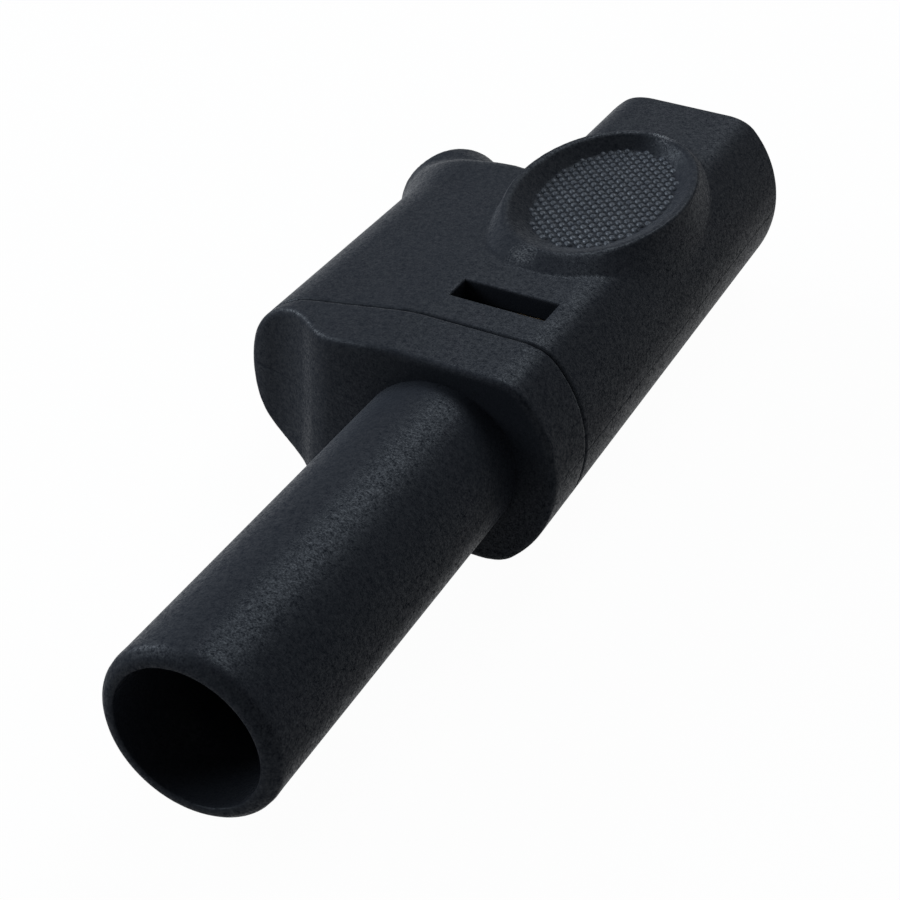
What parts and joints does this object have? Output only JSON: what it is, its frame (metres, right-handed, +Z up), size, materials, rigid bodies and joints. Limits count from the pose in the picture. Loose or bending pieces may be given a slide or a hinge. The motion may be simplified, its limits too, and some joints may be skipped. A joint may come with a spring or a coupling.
{
  "type": "banana plug",
  "caption": "Stackable shrouded safety banana plug for self-assembly: rigid guard sleeve, clip-in cap, dished finger pad, slanting cable outlet and guarded rear socket.",
  "frame": {"origin": "on the plug axis, in the front face of the cap where the guard sleeve leaves it", "axes": "-Y along the plug axis towards the sleeve's mouth, +Z up through the finger pad, +X to the side away from the cable outlet"},
  "size_m": [0.0191, 0.0544, 0.0106],
  "materials": {
    "black_plastic": "moulded polyamide with a fine spark-eroded grain",
    "nickel_plate": "bright nickel plate on turned brass",
    "plain_brass": "tumbled bare brass",
    "zinc_steel": "zinc plated steel"
  },
  "bodies": {
    "root": {"front_cap": "black_plastic", "housing": "black_plastic", "contact_pin": "nickel_plate", "spring_cage": "nickel_plate", "socket_barrel": "nickel_plate", "terminal_block": "plain_brass", "clamp_screw": "zinc_steel"}
  },
  "joints": []
}
